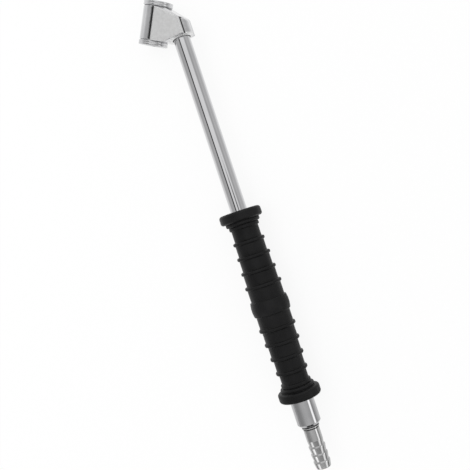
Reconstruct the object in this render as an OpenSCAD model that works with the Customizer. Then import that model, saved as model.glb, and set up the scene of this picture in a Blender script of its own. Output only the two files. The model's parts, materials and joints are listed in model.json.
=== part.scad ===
// Twin-foot tyre inflator wand: a die-cast head with two opposed valve chucks, a stem tube,
// a ribbed rubber grip, a coupling and a barbed hose tail.
//
// Tool axes, used by every module: the stem's axis is X and points to the tail, x = 0 is the
// end face of the head's socket, and the head leans to -Y. The head's own axis lies in the XY
// plane. On each side of its middle a valve is stacked outwards: spring, plunger flange,
// valve disc, seat, rubber washer, face nut. lying() sets the finished tool down as it rests.

/* [Head casting] */
// Angle between the head's axis and the stem, in degrees
head_angle = 30; // [26:1:33]
// Distance of the head's middle from the stem's axis
head_offset = 12.9; // [12.4:0.1:13.6]
// Distance of the head's middle from the socket's end face, along the stem
head_setback = 14.7; // [14:0.1:15.6]
// Diameter of the barrel that holds the two valves
barrel_d = 16.8; // [16.6:0.1:17.4]
// Thickness of the flat-sided web between barrel and socket
web_t = 16.3; // [15.6:0.1:16.4]
// Distance that the web's flats run on behind the stem's axis
web_back = 5.5; // [4.5:0.1:6]
// Height of the upper face nut above the top of the web's slope, at the barrel's back
web_drop = 1.5; // [1.2:0.1:2.5]
// Chamfer round the web's flats
web_chamfer = 0.7; // [0.4:0.1:1]
// Diameter of the socket that takes the stem
socket_d = 14.7; // [14:0.1:16]
// Length of the socket's full back, before the web slopes up to the barrel
socket_back = 8.7; // [8:0.1:10]
// Rounding of the socket's lip
socket_lip = 1.2; // [0.6:0.1:1.6]
// Chamfer on the barrel's rims
cast_chamfer = 0.9; // [0.3:0.1:1]
// Thickness of the wall between the two spring chambers
septum_t = 1.6; // [1.2:0.1:2.4]
// Diameter of each spring chamber
chamber_d = 9.4; // [9.2:0.1:10]
// Diameter of the air passage from the stem to the chambers
passage_d = 4; // [3:0.1:4.4]

/* [Face nuts] */
// Outside diameter of a face nut
nut_d = 17.3; // [17:0.1:18]
// Thickness of the nut's rim outside the barrel
nut_rim_t = 2.8; // [2.6:0.1:3.4]
// Rounding of the rim's edges
nut_round = 0.5; // [0.3:0.1:0.8]
// Radius of the shallow groove round the rim's middle
nut_groove_r = 0.4; // [0.2:0.1:0.6]
// Thread diameter of the nut's skirt
nut_thread_d = 13.4; // [13:0.1:13.8]
// Diameter of the mouth that takes a tyre valve's stem
mouth_d = 8.2; // [8:0.1:8.6]
// Depth of the mouth, from the nut's face to the rubber washer
mouth_depth = 3.1; // [3:0.1:3.8]
// Lead-in chamfer of the mouth
mouth_chamfer = 0.4; // [0.2:0.1:0.6]

/* [Valves] */
// Diameter of the rubber washer and of the valve seat
washer_d = 11; // [10.8:0.1:11.4]
// Thickness of the rubber washer
washer_t = 1.8; // [1.6:0.1:2.4]
// Hole through the rubber washer
washer_hole_d = 4.6; // [4.4:0.1:5.2]
// Thickness of the valve seat
seat_t = 1.4; // [1.2:0.1:2]
// Hole through the valve seat
seat_hole_d = 4; // [3.8:0.1:4.3]
// Diameter of the rubber valve disc and of the plunger's flange
disc_d = 7.6; // [7:0.1:8.2]
// Thickness of the rubber valve disc
disc_t = 1; // [0.8:0.1:1.4]
// Thickness of the plunger's flange
flange_t = 0.8; // [0.6:0.1:1.2]
// Diameter of the plunger's neck inside the valve disc
neck_d = 3; // [2.6:0.1:3.2]
// Diameter of the pin that presses a tyre valve open
pin_d = 2.4; // [2:0.1:2.8]
// Distance of the pin's tip below the washer's face
tip_recess = 0.15; // [0.1:0.05:0.5]
// Travel of the plunger when a tyre valve presses it in
valve_travel = 1.8; // [1:0.1:2]
// Height of the boss that centres the spring on the plunger
pilot_h = 1; // [0.6:0.1:1.4]
// Outside diameter of the spring
spring_d = 6.6; // [6:0.1:7]
// Wire of the spring
spring_wire = 0.5; // [0.4:0.05:0.6]
// Coils of the spring
spring_turns = 3; // [2:1:3]
// Length that the spring has in reserve at the end of its travel
spring_reserve = 0.05; // [0.05:0.05:0.5]

/* [Stem] */
// Outside diameter of the stem tube
stem_d = 10; // [9:0.1:10.6]
// Wall of the stem tube
stem_wall = 1.5; // [1:0.1:2]
// Bare length of the stem between head and grip
stem_bare = 106.6; // [60:0.1:220]
// Depth of the stem in the head's socket
stem_insert = 9; // [7:0.1:9.2]
// Thickness of the seals at both ends of the stem
stem_seal_t = 1; // [0.6:0.1:1.2]

/* [Grip] */
// Length of the grip
grip_length = 115.5; // [105:0.5:140]
// Diameter of the grip's end flanges
flange_d = 25.4; // [24:0.1:30]
// Width of the end flanges
flange_w = 5.8; // [5:0.1:9]
// Rounding of the end flanges
flange_round = 1.8; // [1:0.1:2.4]
// Diameter of the sleeve beside its centre band
waist_mid_d = 20.4; // [20:0.1:22]
// Diameter of the sleeve beside its end rings; it steps down a little under each rib
waist_end_d = 16.4; // [16:0.1:18]
// Width of the centre band
band_w = 8.8; // [8:0.1:14]
// Diameter at the crown of the centre band
band_d = 23; // [22.6:0.1:25]
// Height of the centre band's crown
band_crown = 0.5; // [0.3:0.1:0.8]
// Distance of the band's centre behind the grip's middle
band_shift = 0.6; // [0:0.1:1]
// Number of ribs on each side of the band
rib_count = 4; // [2:1:4]
// Distance of the first rib from the band's centre
rib_first = 13.1; // [12:0.1:14]
// Distance between ribs
rib_pitch = 8.9; // [8:0.1:9]
// Radius of a rib's rounded back
rib_r = 1.2; // [0.8:0.1:1.4]
// Diameter of the step ring beside each flange
ring_outer_d = 20.6; // [19:0.1:22]
// Diameter of the smaller step ring
ring_inner_d = 18.2; // [18:0.1:19.4]
// Width of each step ring
ring_w = 2.4; // [1.6:0.1:2.8]

/* [Coupling] */
// Diameter of the coupling
coupling_d = 14.2; // [13.6:0.1:16]
// Length of the coupling
coupling_length = 16.9; // [15:0.1:22]
// Shoulder chamfer at the coupling's tail end
coupling_chamfer = 1.8; // [0.6:0.1:1.9]
// Thickness of the shoulder between the stem's seal and the tail's thread
coupling_shoulder = 1.2; // [0.8:0.1:2]

/* [Hose tail] */
// Diameter of the collar against the tail's seal
collar_d = 10.6; // [10.4:0.1:11.2]
// Thickness of the collar
collar_t = 0.7; // [0.5:0.1:1]
// Diameter of the neck behind the collar
tail_neck_d = 8.4; // [8:0.1:8.8]
// Width of the neck behind the collar
tail_neck_w = 0.6; // [0.4:0.1:1]
// Diameter of the plain land and of the barbs' crests, which the hose is pressed over
tail_d = 9.8; // [9.2:0.1:10.2]
// Length of the plain land
land_length = 7; // [6:0.1:14]
// Length of the taper from the land down to the foot of the first barb
land_taper = 3.5; // [1:0.1:5]
// Diameter at the foot of the barbs
barb_root_d = 8.8; // [8:0.1:8.9]
// Width of a barb's crest
crest_w = 0.6; // [0.4:0.1:1]
// Number of barbs
barb_count = 3; // [2:1:5]
// Distance between barbs
barb_pitch = 4.65; // [4:0.05:6]
// Length of the last barb, to the tail's tip
tip_length = 4.2; // [3:0.1:6]
// Thickness of the tail's seal
tail_seal_t = 0.6; // [0.4:0.1:1]
// Diameter of the tail's thread
tail_thread_d = 9; // [8.4:0.1:9.2]
// Length of the tail's thread
tail_thread_length = 5.5; // [4:0.1:6]
// Air bore of the tail
tail_bore_d = 5.4; // [4:0.1:6]

/* [Fits] */
// Radial gap in the threads
thread_gap = 0.05; // [0.02:0.01:0.1]
// Radial gap round the seats, washers and seals
seal_gap = 0.1; // [0.05:0.05:0.2]
// Radial gap between the plunger's guide and the seat
guide_gap = 0.1; // [0.05:0.05:0.15]
// Gap between a thread's end and the bottom of its hole
thread_relief = 0.3; // [0.2:0.1:0.5]

/* [Hidden] */
UPPER = 1;
LOWER = -1;
$fn = 96;

// Cuts run on by this much past the faces that they open
CUT = 1;
// Thickness of the big blocks that trim a form to a plane
TRIM = 60;
// Gap between the web and the face nuts
FOOT_GAP = 0.25;

// Length of the spring with its valve shut
spring_length = valve_travel + (spring_turns + 1) * spring_wire + spring_reserve;

// Heights along the head's axis, from its middle outwards
chamber_floor = septum_t / 2;
flange_under = chamber_floor + spring_length;
disc_under = flange_under + flange_t;
seat_under = disc_under + disc_t;
washer_under = seat_under + seat_t;
mouth_floor = washer_under + washer_t;
nut_face = mouth_floor + mouth_depth;
barrel_end = nut_face - nut_rim_t;

// The stem goes into the coupling until its seal meets the shoulder in front of the tail's thread
coupling_thread = tail_thread_length + thread_relief;
coupling_insert = coupling_length - coupling_thread - coupling_shoulder - stem_seal_t;

// Places along the stem
grip_start = stem_bare;
band_mid = grip_start + grip_length / 2 + band_shift;
grip_end = grip_start + grip_length;
coupling_end = grip_end + coupling_length;
collar_start = coupling_end + tail_seal_t;
neck_start = collar_start + collar_t;
land_start = neck_start + tail_neck_w;
land_end = land_start + land_length;
barbs_start = land_end + land_taper;
tip_start = barbs_start + (barb_count - 1) * barb_pitch;
tail_end = tip_start + tip_length;
stem_start = -stem_insert;
stem_end = grip_end + coupling_insert;
stem_bore_d = stem_d - 2 * stem_wall;

// The web's outline in the head's plane. head_point() turns a place given in the head's own
// directions, back from its axis and out along it, into tool axes.
function head_point(back, out) = [
  -head_setback + back * sin(head_angle) - out * cos(head_angle),
  -head_offset + back * cos(head_angle) + out * sin(head_angle)
];
web_foot = barrel_end - FOOT_GAP;
web_end_x = -socket_lip / 2;
slope_top = head_point(barrel_d / 2, barrel_end - web_drop);
slope_low = [-socket_back, socket_d / 2];
slope_run = slope_low - slope_top;
slope_angle = atan2(slope_run[1], slope_run[0]);
web_corner = slope_top + slope_run * (web_back - slope_top[1]) / slope_run[1];
// The slope runs on upwards to the height of the web's foot
slope_rise = slope_run * [-cos(head_angle), sin(head_angle)];
web_peak = slope_top + slope_run * (web_foot - barrel_end + web_drop) / slope_rise;

// The cross passage leaves the stem's bore just beyond the stem's seal
socket_depth = stem_insert + stem_seal_t;
passage_x = -(socket_depth + passage_d / 2 + thread_relief);

// The tool lies on both grip flanges and on the lower nut's rim. The roll that brings the rim
// down to the flanges' tangent plane solves a quadratic in the sine of that roll.
rest_r = flange_d / 2;
rim_r = nut_d / 2 - nut_round;
rim_drop = rest_r - nut_round;
rim_offset = head_offset + (nut_face - nut_round) * sin(head_angle);
roll_a = pow(rim_offset, 2) + pow(rim_r * sin(head_angle), 2);
roll_b = 2 * rim_drop * rim_offset;
roll_c = pow(rim_drop, 2) - pow(rim_r, 2);
lie_roll = asin((roll_b - sqrt(pow(roll_b, 2) - 4 * roll_a * roll_c)) / (2 * roll_a));

// Box of the lying tool, for its origin: the upper nut ends it at the head, the lower nut at
// the front and the grip's flange at the back.
nut_reach = nut_face - nut_round;
head_end_x = -head_setback - nut_reach * cos(head_angle) - rim_r * sin(head_angle) - nut_round;
front_y = -rim_offset * cos(lie_roll)
  - rim_r * sqrt(1 - pow(sin(head_angle) * cos(lie_roll), 2)) - nut_round;
centre_x = (head_end_x + tail_end) / 2;
centre_y = (front_y + rest_r) / 2;

module lying() {
  translate([-centre_x, -centre_y, rest_r])
    rotate([lie_roll, 0, 0])
      children();
}

// A turned piece along the stem: its profile is drawn as [along, radius]
module turned() {
  rotate([0, 90, 0])
    rotate_extrude()
      rotate(90)
        mirror([0, 1])
          children();
}

// A plain turned ring along the stem
module stem_ring(start, length, outer_d, inner_d) {
  translate([start, 0, 0])
    rotate([0, 90, 0])
      difference() {
        cylinder(h = length, d = outer_d);
        translate([0, 0, -CUT])
          cylinder(h = length + 2 * CUT, d = inner_d);
      }
}

// Puts a piece that is drawn along +Z on the head's axis, upwards or downwards
module on_head(side) {
  translate([-head_setback, -head_offset, 0])
    rotate([0, 90, side == UPPER ? 180 - head_angle : -head_angle])
      children();
}

// A ring on one side of the head's axis, between two heights
module head_ring(side, from, to, outer_d, inner_d) {
  on_head(side)
    difference() {
      translate([0, 0, from])
        cylinder(h = to - from, d = outer_d);
      translate([0, 0, from - CUT])
        cylinder(h = to - from + 2 * CUT, d = inner_d);
    }
}

// Outline of the web. It ends inside the socket's lip, and is cut square above the lower nut.
module web_outline() {
  intersection() {
    polygon([
      head_point(0, web_foot),
      web_peak,
      web_corner,
      [web_end_x, web_back],
      [web_end_x, -socket_d / 2],
      head_point(barrel_d / 2, -barrel_end),
      head_point(0, -barrel_end)
    ]);
    translate(head_point(0, -web_foot))
      rotate(-head_angle)
        translate([-TRIM, -TRIM / 2])
          square([TRIM, TRIM]);
  }
}

// The web is a plate with chamfered flats
module web() {
  hull() {
    translate([0, 0, web_chamfer - web_t / 2])
      linear_extrude(web_t - 2 * web_chamfer)
        web_outline();
    translate([0, 0, -web_t / 2])
      linear_extrude(web_t)
        offset(delta = -web_chamfer)
          web_outline();
  }
}

module barrel() {
  on_head(UPPER)
    rotate_extrude()
      polygon([
        [0, -barrel_end],
        [barrel_d / 2 - cast_chamfer, -barrel_end],
        [barrel_d / 2, cast_chamfer - barrel_end],
        [barrel_d / 2, barrel_end - cast_chamfer],
        [barrel_d / 2 - cast_chamfer, barrel_end],
        [0, barrel_end]
      ]);
}

// The socket runs in under the web and is cut off along the web's slope
module socket() {
  difference() {
    turned() {
      translate([web_corner[0], 0])
        square([-web_corner[0] - socket_lip, socket_d / 2]);
      translate([web_corner[0], 0])
        square([-web_corner[0], socket_d / 2 - socket_lip]);
      translate([-socket_lip, socket_d / 2 - socket_lip])
        circle(r = socket_lip);
    }
    translate(slope_top)
      rotate(slope_angle)
        translate([-TRIM / 2, 0, -TRIM / 2])
          cube([TRIM, TRIM, TRIM]);
  }
}

// Thread hole and spring chamber of one valve
module valve_hole(side) {
  on_head(side) {
    translate([0, 0, chamber_floor])
      cylinder(h = nut_face, d = chamber_d);
    translate([0, 0, seat_under])
      cylinder(h = nut_face, d = nut_thread_d);
  }
}

module head_body() {
  color("silver")
    difference() {
      union() {
        barrel();
        web();
        socket();
      }
      valve_hole(UPPER);
      valve_hole(LOWER);
      // Stem's hole, and the bore beyond its seal
      translate([-socket_depth, 0, 0])
        rotate([0, 90, 0])
          cylinder(h = socket_depth + CUT, d = stem_d + 2 * thread_gap);
      translate([passage_x, 0, 0])
        rotate([0, 90, 0])
          cylinder(h = -passage_x, d = stem_bore_d - 2 * thread_relief);
      // Cross passage into both chambers
      translate([passage_x, 0, 0])
        rotate([90, 0, 0])
          cylinder(h = head_offset, d = passage_d);
      // Way through the septum
      on_head(UPPER)
        translate([0, 0, -septum_t])
          cylinder(h = 2 * septum_t, d = passage_d);
    }
}

// A face nut holds the washer and the seat in its skirt
module face_nut(side) {
  skirt_r = nut_thread_d / 2 - thread_gap;
  pocket_r = washer_d / 2 + seal_gap;
  skirt_end = seat_under + thread_relief;
  color("silver")
    on_head(side)
      difference() {
        union() {
          translate([0, 0, skirt_end])
            cylinder(h = nut_face - skirt_end - nut_round, r = skirt_r);
          rotate_extrude()
            union() {
              translate([0, barrel_end + nut_round])
                square([nut_d / 2, nut_rim_t - 2 * nut_round]);
              translate([0, barrel_end])
                square([rim_r, nut_rim_t]);
              translate([rim_r, barrel_end + nut_round])
                circle(r = nut_round);
              translate([rim_r, nut_face - nut_round])
                circle(r = nut_round);
            }
        }
        cylinder(h = mouth_floor, r = pocket_r);
        cylinder(h = nut_face + CUT, d = mouth_d);
        rotate_extrude()
          translate([nut_d / 2 + nut_groove_r / 2, barrel_end + nut_rim_t / 2])
            circle(r = nut_groove_r);
        translate([0, 0, nut_face - mouth_chamfer])
          cylinder(h = mouth_chamfer + CUT, d1 = mouth_d, d2 = mouth_d + 2 * (mouth_chamfer + CUT));
      }
}

module seal_washer(side) {
  color("#202020")
    head_ring(side, washer_under, mouth_floor, washer_d, washer_hole_d);
}

module valve_seat(side) {
  color("#c8a24a")
    head_ring(side, seat_under, washer_under, washer_d, seat_hole_d);
}

module valve_disc(side) {
  color("#202020")
    head_ring(side, disc_under, seat_under, disc_d, neck_d);
}

// The plunger's guide is round with three flats, so that air passes beside it
module plunger_guide() {
  guide_r = seat_hole_d / 2 - guide_gap;
  difference() {
    translate([0, 0, seat_under])
      cylinder(h = seat_t, r = guide_r);
    for (turn = [0, 120, 240])
      rotate(turn)
        translate([neck_d / 2, -guide_r, seat_under - CUT])
          cube([guide_r, 2 * guide_r, seat_t + 2 * CUT]);
  }
}

module plunger(side) {
  color("#c8a24a")
    on_head(side) {
      translate([0, 0, flange_under - pilot_h])
        cylinder(h = pilot_h, d = spring_d - 2 * spring_wire - 2 * seal_gap);
      translate([0, 0, flange_under])
        cylinder(h = flange_t, d = disc_d);
      translate([0, 0, disc_under])
        cylinder(h = disc_t, d = neck_d);
      plunger_guide();
      translate([0, 0, washer_under])
        cylinder(h = washer_t - tip_recess, d = pin_d);
    }
}

// A wire swept along a helix. The first and last quarter turns lie flat on their seats.
function coil_rise(t) = min(max((t - 0.125) / 0.75, 0), 1);
function coil_ring(t, turns, mid_r, low, high, wire_r, sides) = [
  for (k = [0:sides - 1])
    let (turn = 360 * turns * t, around = 360 * k / sides, r = mid_r + wire_r * cos(around))
      [r * cos(turn), r * sin(turn), low + (high - low) * coil_rise(t) + wire_r * sin(around)]
];

module coil(low, high, outer_d, wire, turns) {
  sides = 8;
  steps = 20 * turns;
  rings = [
    for (i = [0:steps])
      each coil_ring(i / steps, turns, (outer_d - wire) / 2, low + wire / 2, high - wire / 2,
        wire / 2, sides)
  ];
  walls = [
    for (i = [0:steps - 1], k = [0:sides - 1])
      let (a = i * sides, b = a + sides, n = (k + 1) % sides)
        [a + k, a + n, b + n, b + k]
  ];
  first = [for (k = [sides - 1:-1:0]) k];
  last = [for (k = [0:sides - 1]) steps * sides + k];
  polyhedron(points = rings, faces = concat([first], walls, [last]), convexity = 6);
}

module valve_spring(side) {
  color("#b8bcc0")
    on_head(side)
      coil(chamber_floor, flange_under, spring_d, spring_wire, spring_turns);
}

module stem_tube() {
  color("gainsboro")
    stem_ring(stem_start, stem_end - stem_start, stem_d, stem_bore_d);
}

module stem_seal() {
  color("#b04030")
    stem_ring(-socket_depth, stem_seal_t, stem_d - 2 * seal_gap, stem_bore_d);
}

// Place of a rib, from the band's centre, and radius of the sleeve before it
function rib_place(i) = rib_first + i * rib_pitch;
function sleeve_r(i) = (waist_mid_d + (waist_end_d - waist_mid_d) * i / rib_count) / 2;

// A step in the grip's profile with rounded corners
module rounded_step(from, to, top, r) {
  translate([from, 0])
    square([to - from, top - r]);
  translate([from + r, 0])
    square([to - from - 2 * r, top]);
  for (x = [from + r, to - r])
    translate([x, top - r])
      circle(r = r);
}

// Profile of one side of the grip, from inside its band to its end. The sleeve's steps all
// start inside the band, and each runs on to the rib that hides its end.
module grip_side_profile(side_length) {
  flange_from = side_length - flange_w;
  outer_from = flange_from - ring_w;
  inner_from = outer_from - ring_w;
  for (i = [0:rib_count - 1]) {
    translate([-band_w / 4, 0])
      square([band_w / 4 + rib_place(i), sleeve_r(i)]);
    translate([rib_place(i), (sleeve_r(i) + sleeve_r(i + 1)) / 2])
      circle(r = rib_r);
  }
  translate([-band_w / 4, 0])
    square([band_w / 4 + side_length - flange_round, sleeve_r(rib_count)]);
  rounded_step(inner_from, outer_from + flange_round, ring_inner_d / 2, ring_w / 4);
  rounded_step(outer_from, flange_from + flange_round, ring_outer_d / 2, ring_w / 4);
  rounded_step(flange_from, side_length, flange_d / 2, flange_round);
}

// Crowned band
module grip_band_profile() {
  crown_r = (pow(band_w / 2, 2) + pow(band_crown, 2)) / (2 * band_crown);
  intersection() {
    translate([0, band_d / 2 - crown_r])
      circle(r = crown_r);
    translate([-band_w / 2, 0])
      square([band_w, band_d]);
  }
}

module grip_sleeve() {
  color("#1c1c1c")
    difference() {
      translate([band_mid, 0, 0]) {
        turned()
          grip_side_profile(grip_end - band_mid);
        rotate(180)
          turned()
            grip_side_profile(band_mid - grip_start);
        turned()
          grip_band_profile();
      }
      translate([grip_start - CUT, 0, 0])
        rotate([0, 90, 0])
          cylinder(h = grip_length + 2 * CUT, d = stem_d);
    }
}

module coupling() {
  color("silver")
    difference() {
      translate([grip_end, 0, 0])
        turned()
          polygon([
            [0, 0],
            [0, coupling_d / 2],
            [coupling_length - coupling_chamfer, coupling_d / 2],
            [coupling_length, coupling_d / 2 - coupling_chamfer],
            [coupling_length, 0]
          ]);
      translate([grip_end - CUT, 0, 0])
        rotate([0, 90, 0])
          cylinder(h = coupling_insert + stem_seal_t + CUT, d = stem_d + 2 * thread_gap);
      translate([grip_end, 0, 0])
        rotate([0, 90, 0])
          cylinder(h = coupling_length, d = stem_bore_d);
      translate([coupling_end - coupling_thread, 0, 0])
        rotate([0, 90, 0])
          cylinder(h = coupling_thread + CUT, d = tail_thread_d);
    }
}

module coupling_seal() {
  color("#b04030")
    stem_ring(stem_end, stem_seal_t, stem_d - 2 * seal_gap, stem_bore_d);
}

module tail_seal() {
  color("#202020")
    stem_ring(coupling_end, tail_seal_t, collar_d - 2 * seal_gap, tail_thread_d);
}

// Each barb steps up sharply towards the coupling and tapers towards the tip
module barb_profile(length) {
  polygon([
    [0, 0],
    [length, 0],
    [length, barb_root_d / 2],
    [crest_w, tail_d / 2],
    [0, tail_d / 2]
  ]);
}

module hose_tail() {
  color("silver")
    difference() {
      turned() {
        translate([coupling_end - tail_thread_length, 0])
          square([tail_thread_length + tail_seal_t, tail_thread_d / 2 - thread_gap]);
        translate([collar_start, 0])
          square([collar_t, collar_d / 2]);
        translate([neck_start, 0])
          square([tail_neck_w, tail_neck_d / 2]);
        polygon([
          [land_start, 0],
          [barbs_start, 0],
          [barbs_start, barb_root_d / 2],
          [land_end, tail_d / 2],
          [land_start, tail_d / 2]
        ]);
        for (i = [0:barb_count - 2])
          translate([barbs_start + i * barb_pitch, 0])
            barb_profile(barb_pitch);
        translate([tip_start, 0])
          barb_profile(tip_length);
      }
      translate([coupling_end - tail_thread_length - CUT, 0, 0])
        rotate([0, 90, 0])
          cylinder(h = tail_end - coupling_end + tail_thread_length + 2 * CUT, d = tail_bore_d);
    }
}

lying() head_body();
lying() face_nut(UPPER);  // upper_face_nut
lying() face_nut(LOWER);  // lower_face_nut
lying() seal_washer(UPPER);  // upper_seal_washer
lying() seal_washer(LOWER);  // lower_seal_washer
lying() valve_seat(UPPER);  // upper_valve_seat
lying() valve_seat(LOWER);  // lower_valve_seat
lying() valve_disc(UPPER);  // upper_valve_disc
lying() valve_disc(LOWER);  // lower_valve_disc
lying() plunger(UPPER);  // upper_plunger
lying() plunger(LOWER);  // lower_plunger
lying() valve_spring(UPPER);  // upper_valve_spring
lying() valve_spring(LOWER);  // lower_valve_spring
lying() stem_tube();
lying() stem_seal();
lying() grip_sleeve();
lying() coupling();
lying() coupling_seal();
lying() hose_tail();
lying() tail_seal();
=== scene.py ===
"""Looks of the twin-foot tyre inflator wand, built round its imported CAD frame.

Pieces are drawn in tool axes, in millimetres: the stem's axis is X and points to the tail,
x = 0 is the end face of the head's socket, the head leans to -Y, and the head's own axis lies
in the XY plane. The tool lies rolled about the stem, and to_row takes its axes to the frame.
"""
import json
import math

import bpy
import numpy as np
from mathutils import Matrix, Vector


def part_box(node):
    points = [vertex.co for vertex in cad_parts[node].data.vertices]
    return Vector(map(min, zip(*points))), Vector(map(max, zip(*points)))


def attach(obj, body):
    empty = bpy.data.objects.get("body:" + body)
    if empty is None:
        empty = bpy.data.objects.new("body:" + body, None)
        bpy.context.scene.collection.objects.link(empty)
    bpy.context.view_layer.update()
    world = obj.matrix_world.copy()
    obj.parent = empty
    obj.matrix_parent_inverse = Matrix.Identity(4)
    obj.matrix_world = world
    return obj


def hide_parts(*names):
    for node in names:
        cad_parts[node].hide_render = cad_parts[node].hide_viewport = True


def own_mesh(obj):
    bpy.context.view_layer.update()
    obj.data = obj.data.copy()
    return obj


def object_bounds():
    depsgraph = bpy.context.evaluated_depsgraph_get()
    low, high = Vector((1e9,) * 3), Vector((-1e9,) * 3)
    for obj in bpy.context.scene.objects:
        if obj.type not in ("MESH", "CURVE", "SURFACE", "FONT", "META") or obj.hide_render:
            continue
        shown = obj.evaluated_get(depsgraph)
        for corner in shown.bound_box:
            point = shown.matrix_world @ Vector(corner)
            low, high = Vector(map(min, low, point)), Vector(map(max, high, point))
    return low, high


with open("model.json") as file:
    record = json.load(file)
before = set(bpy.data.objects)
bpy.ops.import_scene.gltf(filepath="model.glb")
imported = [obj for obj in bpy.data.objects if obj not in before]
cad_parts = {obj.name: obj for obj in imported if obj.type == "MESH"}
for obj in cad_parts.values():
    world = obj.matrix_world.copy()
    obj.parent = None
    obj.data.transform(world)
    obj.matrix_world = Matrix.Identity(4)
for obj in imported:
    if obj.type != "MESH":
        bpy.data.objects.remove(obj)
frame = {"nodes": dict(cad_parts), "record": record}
cad_low, cad_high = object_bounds()

MM = 0.001
TINY = 1e-6


# ---------------------------------------------------------------- places read from the frame

def unit(v):
    """The direction of a vector, with length 1."""
    return np.asarray(v, float) / np.linalg.norm(v)


def named(rows, name):
    """The row of that name in a list of the frame."""
    return next(row for row in rows if row["name"] == name)


def mount(name):
    """The record's row for a mount."""
    return named(frame["record"]["mounts"], name)


def node_points(node):
    """Points of a CAD node in the frame, in metres."""
    return np.array([v.co for v in frame["nodes"][node].data.vertices], float)


upper_mouth = np.array(mount("upper_mouth")["pos_m"], float)
lower_mouth = np.array(mount("lower_mouth")["pos_m"], float)
up_axis = unit(mount("upper_mouth")["axis"])
roll = math.atan2(up_axis[2], up_axis[1])
grip_low, grip_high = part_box("grip_sleeve")
stem_middle = (grip_low + grip_high) / 2
to_row = (
    Matrix.Translation((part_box("head_body")[1].x, stem_middle.y, stem_middle.z))
    @ Matrix.Rotation(roll, 4, "X")
    @ Matrix.Scale(MM, 4)
)
to_tool = np.array(to_row.inverted())


def tool_points(points):
    """Places of the frame as places in tool axes."""
    return np.asarray(points, float) @ to_tool[:3, :3].T + to_tool[:3, 3]


head_mid = tool_points([(upper_mouth + lower_mouth) / 2])[0]
head_axis = unit(tool_points([upper_mouth])[0] - head_mid)
STEM = (np.zeros(3), np.array([1.0, 0.0, 0.0]))
UPPER = (head_mid, head_axis)
LOWER = (head_mid, -head_axis)
SIDES = {"upper": UPPER, "lower": LOWER}


def turned_size(node, line):
    """Lowest and highest place of a CAD node along a line, and its least and greatest radius."""
    origin, axis = line
    away = tool_points(node_points(node)) - origin
    along = away @ axis
    radius = np.linalg.norm(away - np.outer(along, axis), axis=1)
    return along.min(), along.max(), radius.min(), radius.max()


# ---------------------------------------------------------------- materials

# Colours are linear. Metals are as grey as their plating, and the room gives them their light,
# apart from the shade that is painted dark into the casting's creases and the tail's neck.
CHROME_DARK = (0.60, 0.60, 0.61)
CHROME_LIGHT = (0.68, 0.68, 0.69)
TUBE_DARK = (0.63, 0.63, 0.64)
TUBE_LIGHT = (0.68, 0.68, 0.69)
TAIL_DARK = (0.60, 0.60, 0.60)
TAIL_LIGHT = (0.70, 0.70, 0.70)
SATIN_DARK = (0.80, 0.80, 0.80)
SATIN_LIGHT = (0.90, 0.90, 0.90)
SATIN_METAL = 0.88
SATIN_ROUGH = (0.36, 0.52)
# Painted shade: the colour and roughness put into the casting's creases, round the stem and in the tail's
# neck
PAINTED_SHADE_DARK = (0.03, 0.03, 0.03, 1.0)
PAINTED_SHADE_ROUGH = 0.6
GRIP_DARK = (0.004, 0.004, 0.0043)
GRIP_LIGHT = (0.009, 0.009, 0.0094)
SEAL_DARK = (0.008, 0.008, 0.008)
SEAL_LIGHT = (0.02, 0.02, 0.02)
BRASS_DARK = (0.62, 0.45, 0.18)
BRASS_LIGHT = (0.78, 0.60, 0.28)
STEEL_DARK = (0.42, 0.42, 0.43)
STEEL_LIGHT = (0.58, 0.58, 0.60)
FIBRE_DARK = (0.22, 0.03, 0.02)
FIBRE_LIGHT = (0.36, 0.06, 0.04)
# Fingermarks: how much finer their grain is than their patches, and its share of the whole
GRAIN_FINER = 25
GRAIN_SHARE = 0.25


def add(tree, kind, settings=None, **inputs):
    """A new node. Inputs are numbers, or sockets to link from, by name, or by place as i0, i1."""
    node = tree.nodes.new(kind)
    for key, value in (settings or {}).items():
        setattr(node, key, value)
    for key, value in inputs.items():
        by_place = key[1:].isdigit()
        socket = node.inputs[int(key[1:]) if by_place else key.replace("_", " ")]
        if isinstance(value, bpy.types.NodeSocket):
            tree.links.new(value, socket)
        else:
            socket.default_value = value
    return node


def math_node(tree, operation, *values):
    """One sum, product or function of numbers and sockets."""
    inputs = {f"i{i}": value for i, value in enumerate(values)}
    return add(tree, "ShaderNodeMath", {"operation": operation}, **inputs).outputs[0]


def noise(tree, vector, scale, detail=3.0, roughness=0.5):
    """Smooth noise in 0..1, with the given number of swells to a metre."""
    return add(tree, "ShaderNodeTexNoise", Vector=vector, Scale=scale, Detail=detail,
               Roughness=roughness).outputs["Fac"]


def spread(tree, value, low, high, start=0.3, end=0.7):
    """A value spread from start..end, by default noise's usual range, to low..high."""
    node = add(tree, "ShaderNodeMapRange", Value=value)
    for name, number in (("From Min", start), ("From Max", end), ("To Min", low), ("To Max", high)):
        node.inputs[name].default_value = number
    return node.outputs["Result"]


def stretched(tree, vector, scale):
    """Coordinates scaled otherwise in each direction."""
    node = add(tree, "ShaderNodeMapping", Vector=vector)
    node.inputs["Scale"].default_value = scale
    return node.outputs["Vector"]


def position(tree):
    """Coordinates that move with the piece, in metres."""
    return add(tree, "ShaderNodeTexCoord").outputs["Object"]


def along_line(tree, line):
    """Coordinates in metres whose Z runs along a line of the tool."""
    origin, axis = line
    row_axis = to_row.to_3x3() @ Vector(axis)
    node = add(tree, "ShaderNodeMapping", {"vector_type": "TEXTURE"}, Vector=position(tree))
    node.inputs["Location"].default_value = to_row @ Vector(origin)
    node.inputs["Rotation"].default_value = row_axis.to_track_quat("Z", "Y").to_euler()
    return node.outputs["Vector"]


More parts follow.
